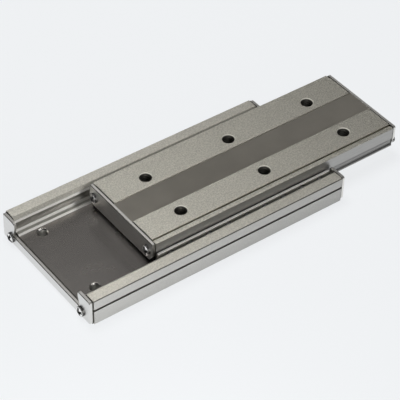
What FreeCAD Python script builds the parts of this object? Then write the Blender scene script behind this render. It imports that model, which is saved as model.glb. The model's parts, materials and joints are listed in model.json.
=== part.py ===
import FreeCAD
import Part
import math
import os

os.makedirs("parts", exist_ok=True)

# Frame: X along the travel, Y across, Z up. The origin is the middle of the bed's underside.
# Left is -X, near is -Y. The table stands at the right-hand end of its stroke.
ALONG = FreeCAD.Vector(1, 0, 0)
ACROSS = FreeCAD.Vector(0, 1, 0)
UP = FreeCAD.Vector(0, 0, 1)
ENDS = {"left": -1, "right": 1}
SIDES = {"near": -1, "far": 1}

# Overall sizes
overall_length = 80.0
bed_width = 40.0
bed_height = 7.6
rail_width = 4.36
table_top_z = 10.05
table_bottom_z = 3.85
stroke = 45.0

# Steel balls and the round raceways they run in
ball_diameter = 2.5
ball_pitch = 6.0
ball_z = 5.25
raceway_clearance = 0.07
wall_gap = 1.59

# Cage strips that carry the balls
cage_thickness = 0.75
cage_offset = 0.15
cage_rim = 0.27
cage_foot = 0.44
cage_end_clearance = 0.3
cage_end_margin = 2.4
cage_window_clearance = 0.06
cage_corner_radius = 0.5

# Section of the bed
floor_z = 2.95
ledge_height = 0.42
ledge_width = 0.97
ramp_width = 0.5
relief_depth = 0.35
relief_slope_width = 0.52
relief_slope_height = 0.44
rail_chamfer_width = 0.78
rail_chamfer_height = 0.85
rail_bevel_width = 0.44
rail_bevel_height = 0.37
long_edge_break = 0.2
side_groove_z = 4.45
side_groove_width = 0.7
side_groove_depth = 0.45

# Section of the table
shoulder_width = 1.7
shoulder_drop = 0.3
step_groove_width = 0.3
step_groove_depth = 0.35
recess_width = 8.3
recess_depth = 0.15

# Narrow gaps left behind the end plates
end_gap = 0.35
end_gap_side = 0.4
end_gap_top = 0.15

# Tapped holes, drawn at their core size with a conical mouth
table_hole_pitch = 26.75
table_hole_rows = 15.4
table_hole_diameter = 3.3
table_hole_mouth = 3.8
bed_hole_end_distance = 6.8
bed_hole_wall_distance = 3.59
bed_hole_diameter = 2.5
bed_hole_mouth = 3.2

# Sheet end plates
plate_thickness = 0.8
plate_edge_break = 0.15
plate_corner_radius = 0.6
plate_height_inset = 0.1
plate_knee_z = 5.8
bed_plate_inset = 0.25
sill_drop = 0.05
tab_clearance = 0.4
tab_flare = 0.85
table_plate_inset = 0.15
table_plate_taper = 1.3

# Pan-head screws that hold the plates
screw_diameter = 1.4
screw_length = 5.0
screw_head_diameter = 2.8
screw_head_height = 0.9
screw_head_side = 0.5
screw_hole_clearance = 0.05
screw_hole_spare = 0.6
plate_hole_clearance = 0.1
bed_screw_inset = 4.03
bed_screw_z = 1.95
left_screw_inset = 2.3
left_screw_z = 6.8
right_screw_inset = 1.85
right_screw_rise = 0.95

# Values that follow from the ones above
body_length = overall_length - 2 * plate_thickness
table_x = stroke / 2
cage_x = table_x / 2
wall_y = bed_width / 2 - rail_width
table_width = 2 * (wall_y - wall_gap)
ball_y = wall_y - wall_gap / 2
raceway_radius = ball_diameter / 2 + raceway_clearance
cage_window_radius = ball_diameter / 2 + cage_window_clearance
cage_top_z = ball_z + cage_window_radius + cage_rim
cage_bottom_z = ball_z - cage_window_radius - cage_foot
cage_length = body_length - table_x - 2 * cage_end_clearance
ball_steps = int((cage_length - 2 * cage_end_margin) / ball_pitch)
bed_hole_x = overall_length / 2 - bed_hole_end_distance
bed_hole_y = wall_y - bed_hole_wall_distance
bed_screw_y = bed_width / 2 - bed_screw_inset
bed_screws = {"left": (bed_screw_y, bed_screw_z), "right": (bed_screw_y, bed_screw_z)}
table_screws = {
    "left": (table_width / 2 - left_screw_inset, left_screw_z),
    "right": (table_width / 2 - right_screw_inset, table_bottom_z + right_screw_rise),
}
cage_y = ball_y - cage_offset
relief_y = wall_y + relief_depth
slope_foot_y = relief_y - relief_slope_width
ledge_y = slope_foot_y - ledge_width
ledge_z = floor_z + ledge_height
slope_top_z = ledge_z + relief_slope_height
bevel_y = wall_y + rail_bevel_width
rail_edge_y = bevel_y + rail_chamfer_width
bevel_top_z = bed_height - rail_chamfer_height
bevel_foot_z = bevel_top_z - rail_bevel_height
touch = 0.001


def export(shape, node):
    shape.exportStep("parts/" + node + ".step")


def block(x0, x1, y0, y1, z0, z1):
    corner = FreeCAD.Vector(x0, y0, z0)
    return Part.makeBox(x1 - x0, y1 - y0, z1 - z0, corner)


def prism(points, x0, length):
    corners = [FreeCAD.Vector(x0, y, z) for y, z in points]
    loop = Part.makePolygon(corners + corners[:1])
    return Part.Face(loop).extrude(ALONG * length)


def rod(radius, x0, length, y, z):
    return Part.makeCylinder(radius, length, FreeCAD.Vector(x0, y, z), ALONG)


def end_edges(shape, x):
    picked = []
    for edge in shape.Edges:
        if all(abs(vertex.X - x) < touch for vertex in edge.Vertexes):
            picked.append(edge)
    return picked


def raceways(x):
    first = rod(raceway_radius, x - body_length, 2 * body_length, -ball_y, ball_z)
    second = rod(raceway_radius, x - body_length, 2 * body_length, ball_y, ball_z)
    return first.fuse(second)


def tapped_hole(x, y, bottom_z, top_z, diameter, mouth):
    start = FreeCAD.Vector(x, y, bottom_z)
    core = Part.makeCylinder(diameter / 2, top_z - bottom_z, start, UP)
    depth = (mouth - diameter) / 2
    rim = FreeCAD.Vector(x, y, top_z - depth)
    return core.fuse(Part.makeCone(diameter / 2, mouth / 2, depth, rim, UP))


def screw_holes(x, places):
    radius = screw_diameter / 2 + screw_hole_clearance
    depth = screw_length - plate_thickness + screw_hole_spare
    holes = []
    for name, end in ENDS.items():
        y, z = places[name]
        mouth = x + end * body_length / 2
        for side in SIDES.values():
            holes.append(rod(radius, min(mouth, mouth - end * depth), depth, side * y, z))
    return holes


def bar(width, bottom_z, top_z, x):
    start = x - body_length / 2
    solid = block(start, start + body_length, -width / 2, width / 2, bottom_z, top_z)
    seat = width / 2 - end_gap_side
    for x0 in (start, start + body_length - end_gap):
        frame = block(x0, x0 + end_gap, -width, width, bottom_z, 2 * top_z)
        core = block(x0, x0 + end_gap, -seat, seat, bottom_z, top_z - end_gap_top)
        solid = solid.cut(frame.cut(core))
    return solid


def make_bed():
    half = bed_width / 2
    bed = bar(bed_width, 0, bed_height, 0)
    long_edges = []
    for edge in bed.Edges:
        middle = edge.CenterOfMass
        at_top = abs(middle.z - bed_height) < touch
        at_side = abs(abs(middle.y) - half) < touch
        if at_top and at_side:
            long_edges.append(edge)
    bed = bed.makeChamfer(long_edge_break, long_edges)
    side = [(ledge_y - ramp_width, floor_z), (ledge_y, ledge_z), (slope_foot_y, ledge_z)]
    side = side + [(relief_y, slope_top_z), (relief_y, ball_z), (wall_y, ball_z), (wall_y, bevel_foot_z)]
    side = side + [(bevel_y, bevel_top_z), (rail_edge_y, bed_height), (rail_edge_y, 2 * bed_height)]
    mirrored = [(-y, z) for y, z in reversed(side)]
    bed = bed.cut(prism(side + mirrored, -body_length, 2 * body_length))
    bed = bed.cut(raceways(0))
    groove_low = side_groove_z - side_groove_width / 2
    for sign in SIDES.values():
        inner, outer = sorted([sign * (half - side_groove_depth), sign * bed_width])
        groove = block(-body_length, body_length, inner, outer, groove_low, groove_low + side_groove_width)
        bed = bed.cut(groove)
        for end in ENDS.values():
            x = end * bed_hole_x
            y = sign * bed_hole_y
            bed = bed.cut(tapped_hole(x, y, 0, floor_z, bed_hole_diameter, bed_hole_mouth))
    for hole in screw_holes(0, bed_screws):
        bed = bed.cut(hole)
    return bed


def make_table():
    table = bar(table_width, table_bottom_z, table_top_z, table_x)
    start = table_x - body_length / 2
    end = table_x + body_length / 2
    low = table_top_z - recess_depth
    table = table.cut(block(start, end, -recess_width / 2, recess_width / 2, low, table_top_z))
    table = table.cut(raceways(table_x))
    low = table_top_z - shoulder_drop
    for sign in SIDES.values():
        strip_edge = table_width / 2 - shoulder_width
        inner, outer = sorted([sign * strip_edge, sign * table_width])
        table = table.cut(block(start, end, inner, outer, low, table_top_z))
        inner, outer = sorted([sign * strip_edge, sign * (strip_edge + step_groove_width)])
        table = table.cut(block(start, end, inner, outer, low - step_groove_depth, table_top_z))
        for step in (-1, 0, 1):
            x = table_x + step * table_hole_pitch
            y = sign * table_hole_rows / 2
            hole = tapped_hole(x, y, table_bottom_z, table_top_z, table_hole_diameter, table_hole_mouth)
            table = table.cut(hole)
    for hole in screw_holes(table_x, table_screws):
        table = table.cut(hole)
    return table


def sheet(points, rounded, x, end, place):
    x0 = x + end * body_length / 2
    plate = prism(points, min(x0, x0 + end * plate_thickness), plate_thickness)
    corners = []
    for edge in plate.Edges:
        y, z = edge.CenterOfMass.y, edge.CenterOfMass.z
        on_corner = any(abs(abs(y) - p) + abs(z - q) < plate_edge_break for p, q in rounded)
        if on_corner and edge.Length > plate_thickness / 2:
            if abs(edge.CenterOfMass.x - x0 - end * plate_thickness / 2) < plate_edge_break:
                corners.append(edge)
    plate = plate.makeFillet(plate_corner_radius, corners)
    plate = plate.makeChamfer(plate_edge_break, end_edges(plate, x0 + end * plate_thickness))
    hole = screw_diameter / 2 + plate_hole_clearance
    screw_y, screw_z = place
    for sign in SIDES.values():
        plate = plate.cut(rod(hole, x0 - plate_thickness, 2 * plate_thickness, sign * screw_y, screw_z))
    return plate


def make_bed_plate(end, place):
    half = bed_width / 2 - bed_plate_inset
    top = bed_height - plate_height_inset
    foot = plate_height_inset
    tab = table_width / 2 + tab_clearance
    side = [(tab + tab_flare, floor_z - sill_drop), (tab, plate_knee_z), (tab, top)]
    side = side + [(half, top), (half, foot)]
    mirrored = [(-y, z) for y, z in reversed(side)]
    rounded = [(half, top), (half, foot), (tab, top)]
    return sheet(side + mirrored, rounded, 0, end, place)


def make_table_plate(end, place):
    half = table_width / 2 - table_plate_inset
    narrow = half - table_plate_taper
    top = table_top_z - plate_height_inset
    foot = table_bottom_z
    side = [(narrow, foot), (half, plate_knee_z), (half, top)]
    mirrored = [(-y, z) for y, z in reversed(side)]
    rounded = [(half, top), (narrow, foot)]
    return sheet(side + mirrored, rounded, table_x, end, place)


def make_screw(x, end, y, z):
    seat = x + end * (body_length / 2 + plate_thickness)
    start = FreeCAD.Vector(seat, y, z)
    out = ALONG * end
    shank = start + ACROSS * (screw_diameter / 2)
    rim = start + ACROSS * (screw_head_diameter / 2)
    shoulder = rim + out * screw_head_side
    crown = start + out * screw_head_height
    rise = screw_head_height - screw_head_side
    sphere = (screw_head_diameter ** 2 / 4 + rise ** 2) / (2 * rise)
    lean = math.asin(screw_head_diameter / 2 / sphere) / 2
    halfway = crown + out * (sphere * (math.cos(lean) - 1)) + ACROSS * (sphere * math.sin(lean))
    tip = start - out * screw_length
    edges = [Part.Arc(crown, halfway, shoulder).toShape()]
    corners = [shoulder, rim, shank, tip + ACROSS * (screw_diameter / 2), tip, crown]
    for first, second in zip(corners, corners[1:]):
        edges.append(Part.makeLine(first, second))
    profile = Part.Face(Part.Wire(edges))
    return profile.revolve(start, ALONG, 360)


def make_cage(side):
    y = side * cage_y
    front = y - cage_thickness / 2
    start = cage_x - cage_length / 2
    strip = block(start, start + cage_length, front, front + cage_thickness, cage_bottom_z, cage_top_z)
    corners = []
    for edge in strip.Edges:
        at_end = abs(abs(edge.CenterOfMass.x - cage_x) - cage_length / 2) < cage_end_clearance
        if at_end and abs(edge.CenterOfMass.y - y) < cage_thickness / 4:
            corners.append(edge)
    strip = strip.makeFillet(cage_corner_radius, corners)
    for x in ball_positions():
        window = FreeCAD.Vector(x, y - cage_thickness, ball_z)
        strip = strip.cut(Part.makeCylinder(cage_window_radius, 2 * cage_thickness, window, ACROSS))
    return strip


def ball_positions():
    return [cage_x + (i - ball_steps / 2) * ball_pitch for i in range(ball_steps + 1)]


export(make_bed(), "bed")
export(make_table(), "table")
for end_name, end in ENDS.items():
    bed_place = bed_screws[end_name]
    table_place = table_screws[end_name]
    export(make_bed_plate(end, bed_place), "bed_plate_" + end_name)
    export(make_table_plate(end, table_place), "table_plate_" + end_name)
    for side_name, side in SIDES.items():
        place = end_name + "_" + side_name
        bed_screw = make_screw(0, end, side * bed_place[0], bed_place[1])
        table_screw = make_screw(table_x, end, side * table_place[0], table_place[1])
        export(bed_screw, "bed_screw_" + place)
        export(table_screw, "table_screw_" + place)
for side_name, side in SIDES.items():
    export(make_cage(side), "cage_" + side_name)
    for number, x in enumerate(ball_positions(), 1):
        centre = FreeCAD.Vector(x, side * ball_y, ball_z)
        ball = Part.makeSphere(ball_diameter / 2, centre)
        export(ball, "ball_" + side_name + "_" + str(number).zfill(2))
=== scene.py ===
import json
import math
import bmesh
import bpy
from mathutils import Matrix, Vector


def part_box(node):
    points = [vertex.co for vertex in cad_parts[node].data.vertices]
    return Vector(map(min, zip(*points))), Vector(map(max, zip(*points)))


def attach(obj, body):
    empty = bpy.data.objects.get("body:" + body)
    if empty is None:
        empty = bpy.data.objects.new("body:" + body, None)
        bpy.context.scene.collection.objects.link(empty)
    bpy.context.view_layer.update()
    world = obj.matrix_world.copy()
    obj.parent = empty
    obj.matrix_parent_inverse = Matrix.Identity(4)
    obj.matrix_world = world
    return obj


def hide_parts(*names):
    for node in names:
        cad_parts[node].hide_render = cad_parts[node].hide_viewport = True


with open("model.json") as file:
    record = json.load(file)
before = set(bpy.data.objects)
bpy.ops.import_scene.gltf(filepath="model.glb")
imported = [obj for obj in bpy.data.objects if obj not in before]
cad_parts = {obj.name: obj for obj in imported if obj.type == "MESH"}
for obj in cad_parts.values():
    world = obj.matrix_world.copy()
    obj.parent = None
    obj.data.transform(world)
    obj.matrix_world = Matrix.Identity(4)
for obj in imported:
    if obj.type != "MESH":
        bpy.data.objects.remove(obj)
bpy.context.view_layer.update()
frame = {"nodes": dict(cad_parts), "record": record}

mm = 0.001
nodes = frame["nodes"]
ends = {"left": -1, "right": 1}
sides = ("near", "far")
print("stage: frame loaded,", len(nodes), "nodes")


def boxInMm(node):
    low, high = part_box(node)
    return low / mm, high / mm


def holePattern(name):  # a set of tapped holes from the record's mounts, in millimetres
    mount = next(mount for mount in frame["record"]["mounts"] if mount["name"] == name)
    size = mount["dims"]
    return {"middle": mount["pos_m"][0] / mm, "halfX": size["spacing_x_mm"] / 2,
            "halfY": size["spacing_y_mm"] / 2, "core": size["hole_r_mm"]}


bedHoles = holePattern("bed_holes")
tableHoles = holePattern("table_holes_outer")


def addObject(name, data):
    made = bpy.data.objects.new(name, data)
    bpy.context.scene.collection.objects.link(made)
    return made


class Field:  # a socket that takes part in sums
    def __init__(self, finish, socket):
        self.finish = finish
        self.socket = socket

    def math(self, operation, *values):
        return self.finish.node("ShaderNodeMath", {"operation": operation}, dict(enumerate(values)))

    def __add__(self, other): return self.math("ADD", self, other)
    def __radd__(self, other): return self.math("ADD", other, self)
    def __sub__(self, other): return self.math("SUBTRACT", self, other)
    def __rsub__(self, other): return self.math("SUBTRACT", other, self)
    def __mul__(self, other): return self.math("MULTIPLY", self, other)
    def __rmul__(self, other): return self.math("MULTIPLY", other, self)
    def __abs__(self): return self.math("ABSOLUTE", self)

    def over(self, low, high):  # 0 up to low, 1 from high on
        ease = {"interpolation_type": "SMOOTHSTEP"}
        span = {"Value": self, "From Min": low, "From Max": high}
        return self.finish.node("ShaderNodeMapRange", ease, span)

    def under(self, low, high):  # 1 up to low, 0 from high on
        return 1 - self.over(low, high)

    def within(self, low, high, soft):
        return self.over(low - soft, low) * self.under(high, high + soft)

    def most(self, other):
        return self.math("MAXIMUM", self, other)

    def between(self, first, second):  # first where this is 0, second where it is 1
        return first * (1 - self) + self * second


class Finish:  # one material and its nodes
    def __init__(self, name):
        self.material = bpy.data.materials.new(name)
        self.material.use_nodes = True
        self.tree = self.material.node_tree
        self.tree.nodes.clear()
        self.end = self.tree.nodes.new("ShaderNodeOutputMaterial")

    def node(self, kind, settings=None, inputs=None, output=0):
        made = self.tree.nodes.new(kind)
        for key, value in (settings or {}).items():
            setattr(made, key, value)
        for key, value in (inputs or {}).items():
            if isinstance(value, Field):
                self.tree.links.new(value.socket, made.inputs[key])
            else:
                made.inputs[key].default_value = value
        return Field(self, made.outputs[output])

    def place(self):  # position in the object's own frame, in millimetres
        metres = self.node("ShaderNodeTexCoord", output="Object")
        return self.stretch(metres, (1 / mm, 1 / mm, 1 / mm))

    def faceNormal(self):
        return self.node("ShaderNodeNewGeometry", output="True Normal")

    def stretch(self, vector, factors):
        return self.node("ShaderNodeVectorMath", {"operation": "MULTIPLY"}, {0: vector, 1: factors})

    def axes(self, vector):
        parts = self.node("ShaderNodeSeparateXYZ", {}, {0: vector}).socket.node
        return [Field(self, part) for part in parts.outputs]

    def noise(self, vector, scale, detail=2.0, rough=0.5):
        values = {"Vector": vector, "Scale": scale, "Detail": detail, "Roughness": rough}
        return self.node("ShaderNodeTexNoise", {}, values)

    def mix(self, factor, first, second):
        colours = {0: factor, 6: first, 7: second}  # the sockets of a colour mix
        return self.node("ShaderNodeMix", {"data_type": "RGBA"}, colours, 2)

    def rounded(self, radius, samples=6):  # normal with the edges softened
        return self.node("ShaderNodeBevel", {"samples": samples}, {"Radius": radius})

    def edges(self, softened, low, high):  # 1 where the softened normal turns away from the face
        pair = {0: softened, 1: self.faceNormal()}
        dot = self.node("ShaderNodeVectorMath", {"operation": "DOT_PRODUCT"}, pair, "Value")
        return dot.under(low, high)

    def bump(self, height, distance, strength, normal):
        values = {"Height": height, "Distance": distance, "Strength": strength, "Normal": normal}
        return self.node("ShaderNodeBump", {}, values)

    def surface(self, inputs):
        return self.close(self.node("ShaderNodeBsdfPrincipled", {}, inputs))

    def close(self, shader):
        self.tree.links.new(shader.socket, self.end.inputs["Surface"])
        return self.material


def tone(value, green=0.97, blue=0.86):  # a steel tone from its red value
    return (value, value * green, value * blue, 1)


def tones(dark, light, green=0.97, blue=0.86):  # both ends of a pattern
    return tone(dark, green, blue), tone(light, green, blue)


def ring(first, second):  # distance from the axis that the two directions cross
    square = first * first + second * second
    return square.math("SQRT", square)


midTones = (0.3, 0.7)  # the part of a noise that runs from dark to light

# ground steel: satin all over, and layers for the faces that were machined in another way; some
# layers paint shade and some paint highlights, as noted at each
satinLook = {
    "grain": 2.6, "grainDetail": 3, "grainRough": 0.65,
    "cloud": 0.15, "lines": 6, "drawn": 0.05,  # the lines are drawn out along the travel
    "contrast": (0.32, 0.68), "roughSpan": 0.2, "layerSpan": 0.02,
    "height": 0.14 * mm, "strength": 0.6, "edge": 0.1 * mm, "worn": (0.75, 0.985),
}


def groundSteel(name, look, masksOf):
    f = Finish(name)
    place = f.place()
    grain = f.noise(place, satinLook["grain"], satinLook["grainDetail"], satinLook["grainRough"])
    patterns = {
        "grain": grain,
        "cloud": f.noise(place, satinLook["cloud"]),
        "lines": f.noise(f.stretch(place, (satinLook["drawn"], 1, 1)), satinLook["lines"]),
    }
    soft = f.rounded(satinLook["edge"])
    colour = f.mix(grain.over(*satinLook["contrast"]), *look["satin"])
    rough = look["satinRough"] + (grain - 0.5) * satinLook["roughSpan"]
    metal = 1.0
    bumpy = grain
    for key, mask in masksOf(f, place).items():
        layer = look["layers"][key]
        pattern = patterns[layer["pattern"]]
        if "worn" in layer:  # only along the edges, as a painted highlight
            mask = mask * f.edges(soft, *satinLook["worn"]) * layer["worn"]
        colour = f.mix(mask, colour, f.mix(pattern.over(*midTones), *layer["tones"]))
        rough = mask.between(rough, layer["rough"] + (pattern - 0.5) * satinLook["layerSpan"])
        metal = mask.between(metal, layer.get("metal", 1.0))
        if layer["pattern"] != "grain":
            bumpy = bumpy * (1 - mask)
    normal = f.bump(bumpy, satinLook["height"], satinLook["strength"], soft)
    inputs = {"Base Color": colour, "Roughness": rough, "Metallic": metal, "Normal": normal}
    return f.surface(inputs)


bedLook = {
    "satin": (tone(0.46, 0.965, 0.855), tone(0.64, 0.965, 0.86)), "satinRough": 0.45,
    "layers": {
        "side": {"pattern": "grain", "tones": tones(0.52, 0.59, 0.99, 0.95),
                 "rough": 0.42, "metal": 0.3},
        # the outer top chamfer is painted dark, a painted shade
        "corner": {"pattern": "grain", "tones": tones(0.16, 0.22), "rough": 0.5},
        # the groove along the outer side is painted dark, a painted shade
        "sideGroove": {"pattern": "lines", "tones": tones(0.2, 0.26), "rough": 0.5},
        "floor": {"pattern": "cloud", "tones": tones(0.335, 0.35, 0.94, 0.88),
                  "rough": 0.27, "metal": 0.92},
        "track": {"pattern": "lines", "tones": tones(0.48, 0.54, 0.98, 0.92), "rough": 0.3},
        # the sloped faces in the channel: lighter ground lands, made paler still as a painted
        # highlight
        "facet": {"pattern": "lines", "tones": tones(0.68, 0.74, 0.98, 0.92),
                  "rough": 0.3, "metal": 0.8},
        "rim": {"pattern": "lines", "tones": tones(0.62, 0.7, 0.97, 0.92), "rough": 0.24},
        "bore": {"pattern": "lines", "tones": tones(0.3, 0.36, 0.97, 0.92),
                 "rough": 0.4, "metal": 0.7},
        # a near-black band at the ends of the body, where the plates meet it, is painted shade
        "endGap": {"pattern": "lines", "tones": tones(0.04, 0.05), "rough": 0.5},
    },
    # where the layers lie, in millimetres
    "soft": 0.03,
    "inner": 16.3, "innerTop": 6.76, "underside": (0.1, 0.15), "floor": 2.95,
    "sideSkin": 0.1, "cornerSkin": 0.25, "grooveSkin": 0.5, "groove": (4.05, 4.85),
    "rim": 1.6, "rimTop": (2.92, 2.94), "endGap": (0.35, 0.33),
    "slope": (0.7, 0.82, 0.02),  # upward share of a sloped face's normal, and its softness
}


def bedMasks(f, place):
    x, y, z = f.axes(place)
    width = abs(y)
    look, soft = bedLook, bedLook["soft"]
    half = boxInMm("bed")[1]  # the bed lies evenly about the origin
    side, corner, groove = [half.y - look[key] for key in ("sideSkin", "cornerSkin", "grooveSkin")]
    inner = width.under(look["inner"], look["inner"] + soft)
    inner = inner * z.under(look["innerTop"], look["innerTop"] + soft) * z.over(*look["underside"])
    above = z.over(look["floor"] + soft, look["floor"] + 2 * soft)
    hole = ring(abs(x) - bedHoles["halfX"], width - bedHoles["halfY"])
    core = bedHoles["core"]
    sloped = f.axes(f.faceNormal())[2].within(*look["slope"])
    return {
        "side": width.over(side - soft, side),
        "corner": width.over(corner, corner + soft) * sloped,
        "sideGroove": width.within(groove, side, soft) * z.within(*look["groove"], soft),
        "floor": inner * (1 - above),
        "track": inner * above,
        "facet": inner * above * sloped,
        "rim": inner * hole.under(look["rim"], look["rim"] + soft) * z.under(*look["rimTop"]),
        "bore": inner * (1 - above) * hole.under(core + soft, core + 2 * soft),
        "endGap": abs(x).over(*[half.x - depth for depth in look["endGap"]]),
    }


tableLook = {
    "satin": (tone(0.42, 0.965, 0.84), tone(0.64, 0.965, 0.85)), "satinRough": 0.42,
    "layers": {
        # the top's edges are lightened along their rounding, a painted highlight
        "edge": {"pattern": "grain", "tones": tones(0.66, 0.72), "rough": 0.4, "worn": 0.6},
        "recess": {"pattern": "cloud", "tones": tones(0.53, 0.57, 0.94, 0.82), "rough": 0.28},
        "wall": {"pattern": "lines", "tones": tones(0.38, 0.42, 0.99, 0.96), "rough": 0.42},
        # the lower part of the side, over the raceway, is painted darker as painted shade
        "groove": {"pattern": "lines", "tones": tones(0.3, 0.33, 0.99, 0.96), "rough": 0.42},
        # the hole chamfers are painted pale and mostly non-metallic, a painted highlight
        "rim": {"pattern": "lines", "tones": tones(0.8, 0.88), "rough": 0.5, "metal": 0.3},
        # the bores are painted near-black as painted shade
        "bore": {"pattern": "lines", "tones": tones(0.1, 0.13), "rough": 0.5, "metal": 0.5},
        # a near-black band at the ends of the body, outside the recess, is painted shade where the
        # plates meet it
        "endGap": {"pattern": "lines", "tones": tones(0.04, 0.05), "rough": 0.5},
    },
    # where the layers lie, in millimetres
    "soft": 0.03,
    "topDrop": (0.36, 0.33), "recess": 4.15, "wallSkin": (0.06, 0.03),
    "groove": (13.37, 13.4), "grooveTop": (6.4, 6.43),
    "halfway": (13.3, 13.4),  # from the middle holes on to the outer ones
    "rim": 1.9, "boreFoot": (0.05, 0.1), "endGap": (0.35, 0.33), "endGapInside": (4.1, 4.15),
}


def tableMasks(f, place):
    x, y, z = f.axes(place)
    width, along = abs(y), abs(x - tableHoles["middle"])
    look, soft = tableLook, tableLook["soft"]
    low, high = boxInMm("table")
    half = (high - low) / 2
    top = z.over(*[high.z - drop for drop in look["topDrop"]])
    column = along - tableHoles["halfX"] * along.over(*look["halfway"])
    hole = ring(column, width - tableHoles["halfY"])
    core, rim = tableHoles["core"], look["rim"]
    foot = [low.z + rise for rise in look["boreFoot"]]
    shadeStart = [half.x - depth for depth in look["endGap"]]
    return {
        "edge": top,
        "recess": width.under(look["recess"] - soft, look["recess"]) * top,
        "wall": width.over(*[half.y - skin for skin in look["wallSkin"]]) * (1 - top),
        "groove": width.over(*look["groove"]) * z.under(*look["grooveTop"]),
        "rim": hole.under(rim + soft, rim + 2 * soft) * z.under(high.z - soft, high.z - soft / 2),
        "bore": hole.under(core + soft, core + 2 * soft) * z.over(*foot),
        "endGap": along.over(*shadeStart) * width.over(*look["endGapInside"]),
    }


# sheet steel of the end plates
plateLook = {
    "face": tones(0.7, 0.76, 0.99, 0.97), "faceRough": 0.26, "lineRough": 0.1,
    "cut": tone(0.8, 0.99, 0.95), "cutRough": 0.42,  # sheared edges of the sheet
    "upper": tone(0.44, 0.98, 0.93),                 # upper edges of the bed's plates, darker as painted shade
    "crown": tone(0.62, 0.98, 0.93),                 # upper edges of the table's plates, darker as painted shade
    "crownFrom": (9, 9.1),                           # millimetres up
    "shaded": tone(0.3, 0.98, 0.93),                 # other edges of the table's left plate
    "shadedReach": (0.5, 0.6),                       # millimetres from the middle of that sheet
    "broken": tone(0.16), "brokenRough": 0.5,        # the small bevel along the top, near-black as painted shade
    "lines": 5, "lineDetail": 3, "lineNoise": 0.6, "drawn": 0.06,
    "height": 0.006 * mm, "strength": 0.3, "edge": 0.04 * mm,
    # shares of a face's normal, endwise and upward
    "cutEndwise": (0.3, 0.35), "cutUpward": (0.5, 0.6),
    "brokenEndwise": (0.35, 0.9, 0.03), "brokenUpward": (0.15, 0.25),
}


def sheetSteel():
    f = Finish("plateSteel")
    look = plateLook
    place = f.place()
    spot, normal = f.axes(place), f.axes(f.faceNormal())
    endwise, upward = abs(normal[0]), normal[2]
    low, high = boxInMm("table_plate_left")
    leftSheet = abs(spot[0] - (low.x + high.x) / 2).under(*look["shadedReach"])
    drawn = f.stretch(place, (1, look["drawn"], 1))
    lines = f.noise(drawn, look["lines"], look["lineDetail"], look["lineNoise"])
    cut = endwise.under(*look["cutEndwise"])
    cutTop = upward.over(*look["cutUpward"])
    broken = endwise.within(*look["brokenEndwise"]) * upward.over(*look["brokenUpward"])
    topTone = f.mix(spot[2].over(*look["crownFrom"]), look["upper"], look["crown"])
    colour = f.mix(lines.over(*midTones), *look["face"])
    colour = f.mix(cut, colour, look["cut"])
    colour = f.mix(cut * cutTop, colour, topTone)
    colour = f.mix(cut * leftSheet * (1 - cutTop), colour, look["shaded"])
    colour = f.mix(broken, colour, look["broken"])
    rough = cut.between(look["faceRough"] + lines * look["lineRough"], look["cutRough"])
    rough = broken.between(rough, look["brokenRough"])
    bumpy = f.bump(lines, look["height"], look["strength"], f.rounded(look["edge"]))
    return f.surface({"Base Color": colour, "Roughness": rough, "Metallic": 1.0, "Normal": bumpy})


# the cage's upward faces are near-white, a painted highlight, and its other faces dark, a painted
# shade
cageLook = {
    "top": tone(0.9, 0.98, 0.93), "topMetal": 0.1, "topUpward": (0.6, 0.7),
    "side": tone(0.36), "sideMetal": 0.3,
    "rough": 0.45, "lineRough": 0.1, "lines": 5, "drawn": 0.1,
}


def cageStrip():  # strip with its upward faces near-white as a painted highlight and its other faces dark as painted shade
    f = Finish("cageStrip")
    look = cageLook
    lines = f.noise(f.stretch(f.place(), (look["drawn"], 1, 1)), look["lines"])
    top = f.axes(f.faceNormal())[2].over(*look["topUpward"])
    colour = f.mix(top, look["side"], look["top"])
    rough = look["rough"] + (lines - 0.5) * look["lineRough"]
    metal = top.between(look["sideMetal"], look["topMetal"])
    return f.surface({"Base Color": colour, "Roughness": rough, "Metallic": metal})


# the balls are painted near-black as painted shade, so they stay dark in the gap
ballLook = {
    "tones": tones(0.126, 0.14, 0.99, 0.97), "cloud": 1.8,
    "rough": 0.5, "cloudRough": 0.06, "edge": 0.02 * mm,
}


def ballSteel():
    f = Finish("ballSteel")
    look = ballLook
    cloud = f.noise(f.place(), look["cloud"])
    colour = f.mix(cloud.over(*midTones), *look["tones"])
    rough = look["rough"] + cloud * look["cloudRough"]
    normal = f.rounded(look["edge"])
    return f.surface({"Base Color": colour, "Roughness": rough, "Metallic": 1.0, "Normal": normal})


# pan-head screws with a cross recess, sizes in millimetres
screwLook = {
    "head": 1.4, "side": 0.5, "height": 0.9, "shank": 0.7, "length": 5.0,
    "slot": 0.85, "reach": 1.3, "deep": 0.65,
    "proud": 0.3, "taper": 0.62,  # the cutter's rise above the crown, and its foot against its top
    "pitch": 0.3, "depth": 0.1, "threadStart": 0.2, "threadEnd": 0.4,
    "round": 48, "domeSteps": 8, "sharp": 30,
    "turns": {"left_near": 20, "left_far": 65, "right_near": 35, "right_far": 80},  # degrees
    "crown": tone(0.95, 0.99, 0.97), "crownMetal": 0.85,
    # the flank ring and the cross recess get this dark tone as painted shade
    "dull": tone(0.12, 0.99, 0.97), "dullMetal": 1.0, "dullRough": 0.25,
    "flank": (1.28, 1.34), "slotSoft": 0.03, "reachSoft": 0.05,
    "rough": 0.14, "cloud": 1.8, "cloudRough": 0.06, "edge": 0.05 * mm,
}


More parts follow.
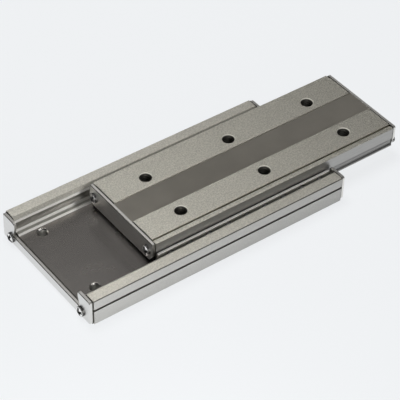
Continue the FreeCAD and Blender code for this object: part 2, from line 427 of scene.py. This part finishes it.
def screwSteel():  # bright crown, with painted shade on the flank and in the recess, in the screw's own frame
    f = Finish("screwSteel")
    look = screwLook
    place = f.place()
    y, z = f.axes(place)[1:]
    atCrown = look["taper"] + (1 - look["taper"]) * look["deep"] / (look["deep"] + look["proud"])
    half, reach = look["slot"] / 2 * atCrown, look["reach"] * atCrown
    thinY, thinZ = [abs(way).under(half, half + look["slotSoft"]) for way in (y, z)]
    longY, longZ = [abs(way).under(reach, reach + look["reachSoft"]) for way in (y, z)]
    cross = (thinY * longZ).most(thinZ * longY)
    dull = ring(y, z).over(*look["flank"]).most(cross)
    cloud = f.noise(place, look["cloud"])
    colour = f.mix(dull, look["crown"], look["dull"])
    rough = look["rough"] + cloud * look["cloudRough"] + dull * look["dullRough"]
    metal = dull.between(look["crownMetal"], look["dullMetal"])
    normal = f.rounded(look["edge"])
    inputs = {"Base Color": colour, "Roughness": rough, "Metallic": metal, "Normal": normal}
    return f.surface(inputs)


finishes = {
    "bed_steel": groundSteel("bedSteel", bedLook, bedMasks),
    "table_steel": groundSteel("tableSteel", tableLook, tableMasks),
    "plate_steel": sheetSteel(),
    "screw_steel": screwSteel(),
    "cage_strip": cageStrip(),
    "ball_steel": ballSteel(),
}
for part in frame["record"]["subparts"]:
    node = nodes[part["node"]]
    node.data.materials.clear()
    node.data.materials.append(finishes[part["material_slot"]])
print("stage: finishes on the solids")


def meshFrom(name, points, faces):  # points in millimetres
    mesh = bpy.data.meshes.new(name)
    mesh.from_pydata([Vector(p) * mm for p in points], [], faces)
    mesh.validate()
    return mesh


def spinProfile(name, profile, steps):  # profile of (along, radius) turned about X
    points, faces = [], []
    for step in range(steps):
        turn = 2 * math.pi * step / steps
        points += [(a, r * math.cos(turn), r * math.sin(turn)) for a, r in profile]
    count = len(profile)
    for step in range(steps):
        here, after = step * count, (step + 1) % steps * count
        faces += [(here + i, here + i + 1, after + i + 1, after + i) for i in range(count - 1)]
    mesh = meshFrom(name, points, faces)
    shape = bmesh.new()
    shape.from_mesh(mesh)
    bmesh.ops.remove_doubles(shape, verts=shape.verts, dist=0.001 * mm)
    bmesh.ops.recalc_face_normals(shape, faces=shape.faces)
    shape.to_mesh(mesh)
    shape.free()
    return mesh


def crossCutter(look):  # two tapered slots that meet in the middle
    mesh = bpy.data.meshes.new("crossCutter")
    shape = bmesh.new()
    top, bottom = (look["height"] + look["proud"]) * mm, (look["height"] - look["deep"]) * mm
    half, reach, taper = look["slot"] / 2 * mm, look["reach"] * mm, look["taper"]
    outline = [(reach, -half), (reach, half), (half, half)]
    outline += [(half, reach), (-half, reach), (-half, half)]
    outline += [(-a, -b) for a, b in outline]
    lower = [shape.verts.new((bottom, a * taper, b * taper)) for a, b in outline]
    upper = [shape.verts.new((top, a, b)) for a, b in outline]
    shape.faces.new(lower)
    shape.faces.new(upper)
    for i in range(len(outline)):
        j = (i + 1) % len(outline)
        shape.faces.new((lower[i], lower[j], upper[j], upper[i]))
    bmesh.ops.recalc_face_normals(shape, faces=shape.faces)
    shape.to_mesh(mesh)
    shape.free()
    return mesh


def screwProfile(look):  # from the crown down to the foot, as (along, radius)
    rise = look["height"] - look["side"]
    sphere = (look["head"] ** 2 + rise ** 2) / (2 * rise)
    lean = math.asin(look["head"] / sphere)
    leans = [lean * i / look["domeSteps"] for i in range(look["domeSteps"] + 1)]
    profile = [(look["height"] - sphere * (1 - math.cos(a)), sphere * math.sin(a)) for a in leans]
    profile += [(0, look["head"]), (0, look["shank"])]
    root = look["shank"] - look["depth"]
    along = -look["threadStart"]
    while along > -look["length"] + look["threadEnd"]:
        profile += [(along, look["shank"]), (along - look["pitch"] / 2, root)]
        along -= look["pitch"]
    return profile + [(-look["length"], root), (-look["length"], 0)]


def screwMesh(look):
    head = addObject("screwBlank", spinProfile("screwBlank", screwProfile(look), look["round"]))
    cutter = addObject("crossCutter", crossCutter(look))
    cut = head.modifiers.new("cross", "BOOLEAN")
    cut.operation = "DIFFERENCE"
    cut.solver = "EXACT"
    cut.object = cutter
    bpy.context.view_layer.update()
    solid = head.evaluated_get(bpy.context.evaluated_depsgraph_get())
    mesh = bpy.data.meshes.new_from_object(solid)
    for item in (head, cutter):
        bpy.data.objects.remove(item)
    mesh.polygons.foreach_set("use_smooth", [True] * len(mesh.polygons))
    mesh.set_sharp_from_angle(angle=math.radians(look["sharp"]))
    return mesh


def addScrews():
    mesh = screwMesh(screwLook)
    mesh.materials.clear()
    mesh.materials.append(finishes["screw_steel"])
    for body in ("bed", "table"):
        for endName, end in ends.items():
            for sideName in sides:
                node = body + "_screw_" + endName + "_" + sideName
                low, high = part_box(node)
                seat = (high.x if end > 0 else low.x) - end * screwLook["height"] * mm
                screw = addObject("crossHead_" + node, mesh)
                turn = screwLook["turns"][endName + "_" + sideName]
                spin = Matrix.Rotation(math.radians(turn), 4, "X")
                flip = Matrix.Rotation(math.pi if end < 0 else 0, 4, "Z")
                spot = Matrix.Translation((seat, (low.y + high.y) / 2, (low.z + high.z) / 2))
                screw.matrix_world = spot @ flip @ spin
                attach(screw, body)
                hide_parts(node)


addScrews()
print("stage: screws")

# threads of the tapped holes, sizes in millimetres
threads = {
    "table": {"holes": tableHoles, "columns": (-1, 0, 1), "pitch": 0.7, "depth": 0.16,
              # the table's threads are painted near-black as painted shade
              "bottom": 4.2, "top": 9.45, "tones": tones(0.102, 0.12), "slot": "table_steel"},
    "bed": {"holes": bedHoles, "columns": (-1, 1), "pitch": 0.5, "depth": 0.12,
            "bottom": 0.25, "top": 2.35, "tones": tones(0.255, 0.3), "slot": "bed_steel"},
}
threadLook = {
    "steps": 24, "sunk": 0.02, "flank": 0.44,  # steps a turn, root in the wall, half width in pitches
    "lines": 4, "rough": 0.4, "lineRough": 0.1,
}


def threadMesh(look):  # one helical rib up the bore
    points, faces = [], []
    steps, core = threadLook["steps"], look["holes"]["core"]
    root, half = core + threadLook["sunk"], look["pitch"] * threadLook["flank"]
    count = int((look["top"] - look["bottom"]) / look["pitch"] * steps)
    for i in range(count + 1):
        turn = 2 * math.pi * i / steps
        height = look["bottom"] + look["pitch"] * i / steps
        for radius, rise in ((root, -half), (core - look["depth"], 0), (root, half)):
            points.append((radius * math.cos(turn), radius * math.sin(turn), height + rise))
    for i in range(count):
        for k in (0, 1):
            a = 3 * i + k
            faces.append((a, a + 3, a + 4, a + 1))
    return meshFrom("thread", points, faces)


def threadSteel(name, ribTones):
    f = Finish(name)
    lines = f.noise(f.place(), threadLook["lines"])
    rough = threadLook["rough"] + lines * threadLook["lineRough"]
    return f.surface({"Base Color": f.mix(lines, *ribTones), "Roughness": rough, "Metallic": 1.0})


for body, look in threads.items():
    rib = threadMesh(look)
    rib.materials.append(threadSteel(body + "Thread", look["tones"]))
    holes = look["holes"]
    spots = [(column, side) for column in look["columns"] for side in (-1, 1)]
    for number, (column, side) in enumerate(spots, 1):
        thread = addObject(body + "_thread_" + str(number), rib)
        x, y = holes["middle"] + holes["halfX"] * column, holes["halfY"] * side
        thread.location = (x * mm, y * mm, 0)
        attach(thread, body)
print("stage: threads")

# camera, from the edges and holes seen in the photograph
cameraLook = {
    "place": (-192.24 * mm, -260.20 * mm, 297.09 * mm),
    "ahead": (0.4528, 0.5893, -0.6692),
    "right": (0.8036, -0.5949, 0.0199),
    "lens": 152.21,
    "sensor": 36,
    "clipStart": 0.01,
}


def addCamera():
    data = bpy.data.cameras.new("camera")
    data.lens = cameraLook["lens"]
    data.sensor_width = cameraLook["sensor"]
    data.clip_start = cameraLook["clipStart"]
    camera = addObject("camera", data)
    ahead = Vector(cameraLook["ahead"]).normalized()
    right = Vector(cameraLook["right"])
    right = (right - ahead * right.dot(ahead)).normalized()
    turn = Matrix((right, right.cross(ahead), -ahead)).transposed()
    camera.matrix_world = Matrix.Translation(cameraLook["place"]) @ turn.to_4x4()
    bpy.context.scene.camera = camera


stageLook = {
    "paper": ((0.86, 0.885, 0.895, 1), (0.85, 0.875, 0.885, 1)), "cloud": 0.4,
    "seen": (0.908, 0.925, 0.943, 1),  # the paper as the camera and the metal see it
    "even": 0.85,                      # how far the lamps' unevenness is taken out of it
    "near": (350, 525),                # mm from the object over which the metal stops seeing it so
    "size": 6.0,
    "world": (0.03, 0.03, 0.03, 1),
}


def addFloor():
    mesh = bpy.data.meshes.new("floor")
    half = stageLook["size"] / 2
    corners = [(-half, -half, 0), (half, -half, 0), (half, half, 0), (-half, half, 0)]
    mesh.from_pydata(corners, [], [(0, 1, 2, 3)])
    floor = addObject("floor", mesh)
    f = Finish("floorPaper")
    place = f.place()
    x, y = f.axes(place)[:2]
    colour = f.mix(f.noise(place, stageLook["cloud"]), *stageLook["paper"])
    paper = f.node("ShaderNodeBsdfDiffuse", {}, {"Color": colour})
    glow = f.node("ShaderNodeEmission", {}, {"Color": stageLook["seen"]})
    kinds = ("Is Camera Ray", "Is Glossy Ray", "Is Transmission Ray")
    seen, mirrored, passed = [f.node("ShaderNodeLightPath", output=kind) for kind in kinds]
    close = ring(x, y).under(*stageLook["near"])
    share = (seen + (mirrored + passed) * close) * stageLook["even"]
    mesh.materials.append(f.close(f.node("ShaderNodeMixShader", {}, {0: share, 1: paper, 2: glow})))


def addWorld():
    world = bpy.data.worlds.new("studio")
    bpy.context.scene.world = world
    world.use_nodes = True
    back = world.node_tree.nodes["Background"]
    back.inputs["Color"].default_value = stageLook["world"]
    back.inputs["Strength"].default_value = 1.0


# degrees round from +X and up, then metres from the aim, disk size in metres, and watts
lamps = {
    "topBack": {"round": 95, "up": 75, "away": 0.55, "size": 0.26, "watts": 1.75,
                "aim": (0.01, 0, 0.005)},
    "lowBack": {"round": 60, "up": 21, "away": 0.55, "size": 0.26, "watts": 0.15,
                "aim": (0.01, 0, 0.005)},
    "rightBack": {"round": 30, "up": 38, "away": 0.55, "size": 0.26, "watts": 0.028,
                  "aim": (0.01, 0, 0.005)},
    "front": {"round": 307, "up": 43, "away": 0.55, "size": 0.12, "watts": 0.12,
              "aim": (-0.02, 0, 0.005)},
    "frontFill": {"round": 265, "up": 40, "away": 0.26, "size": 0.1, "watts": 0.06,
                  "aim": (0, -0.01, 0.005)},
    "lowLeft": {"round": 165, "up": 7, "away": 0.55, "size": 0.24, "watts": 0.16,
                "aim": (-0.02, 0, 0.005)},
    "leftFront": {"round": 250, "up": 20, "away": 0.1, "size": 0.06, "watts": 0.072,
                  "aim": (-0.055, -0.02, 0.003)},
}


def addLamp(name, look):
    data = bpy.data.lights.new(name, "AREA")
    data.shape = "DISK"
    data.size = look["size"]
    data.energy = look["watts"]
    lamp = addObject(name, data)
    turn, lift = math.radians(look["round"]), math.radians(look["up"])
    out = Vector((math.cos(turn) * math.cos(lift), math.sin(turn) * math.cos(lift), math.sin(lift)))
    lamp.location = Vector(look["aim"]) + out * look["away"]
    lamp.rotation_mode = "QUATERNION"
    lamp.rotation_quaternion = (-out).to_track_quat("-Z", "Y")


addCamera()
addFloor()
addWorld()
for lampName, lampLook in lamps.items():
    addLamp(lampName, lampLook)
bpy.context.scene.view_settings.view_transform = "Standard"
print("stage: camera, floor and lamps")
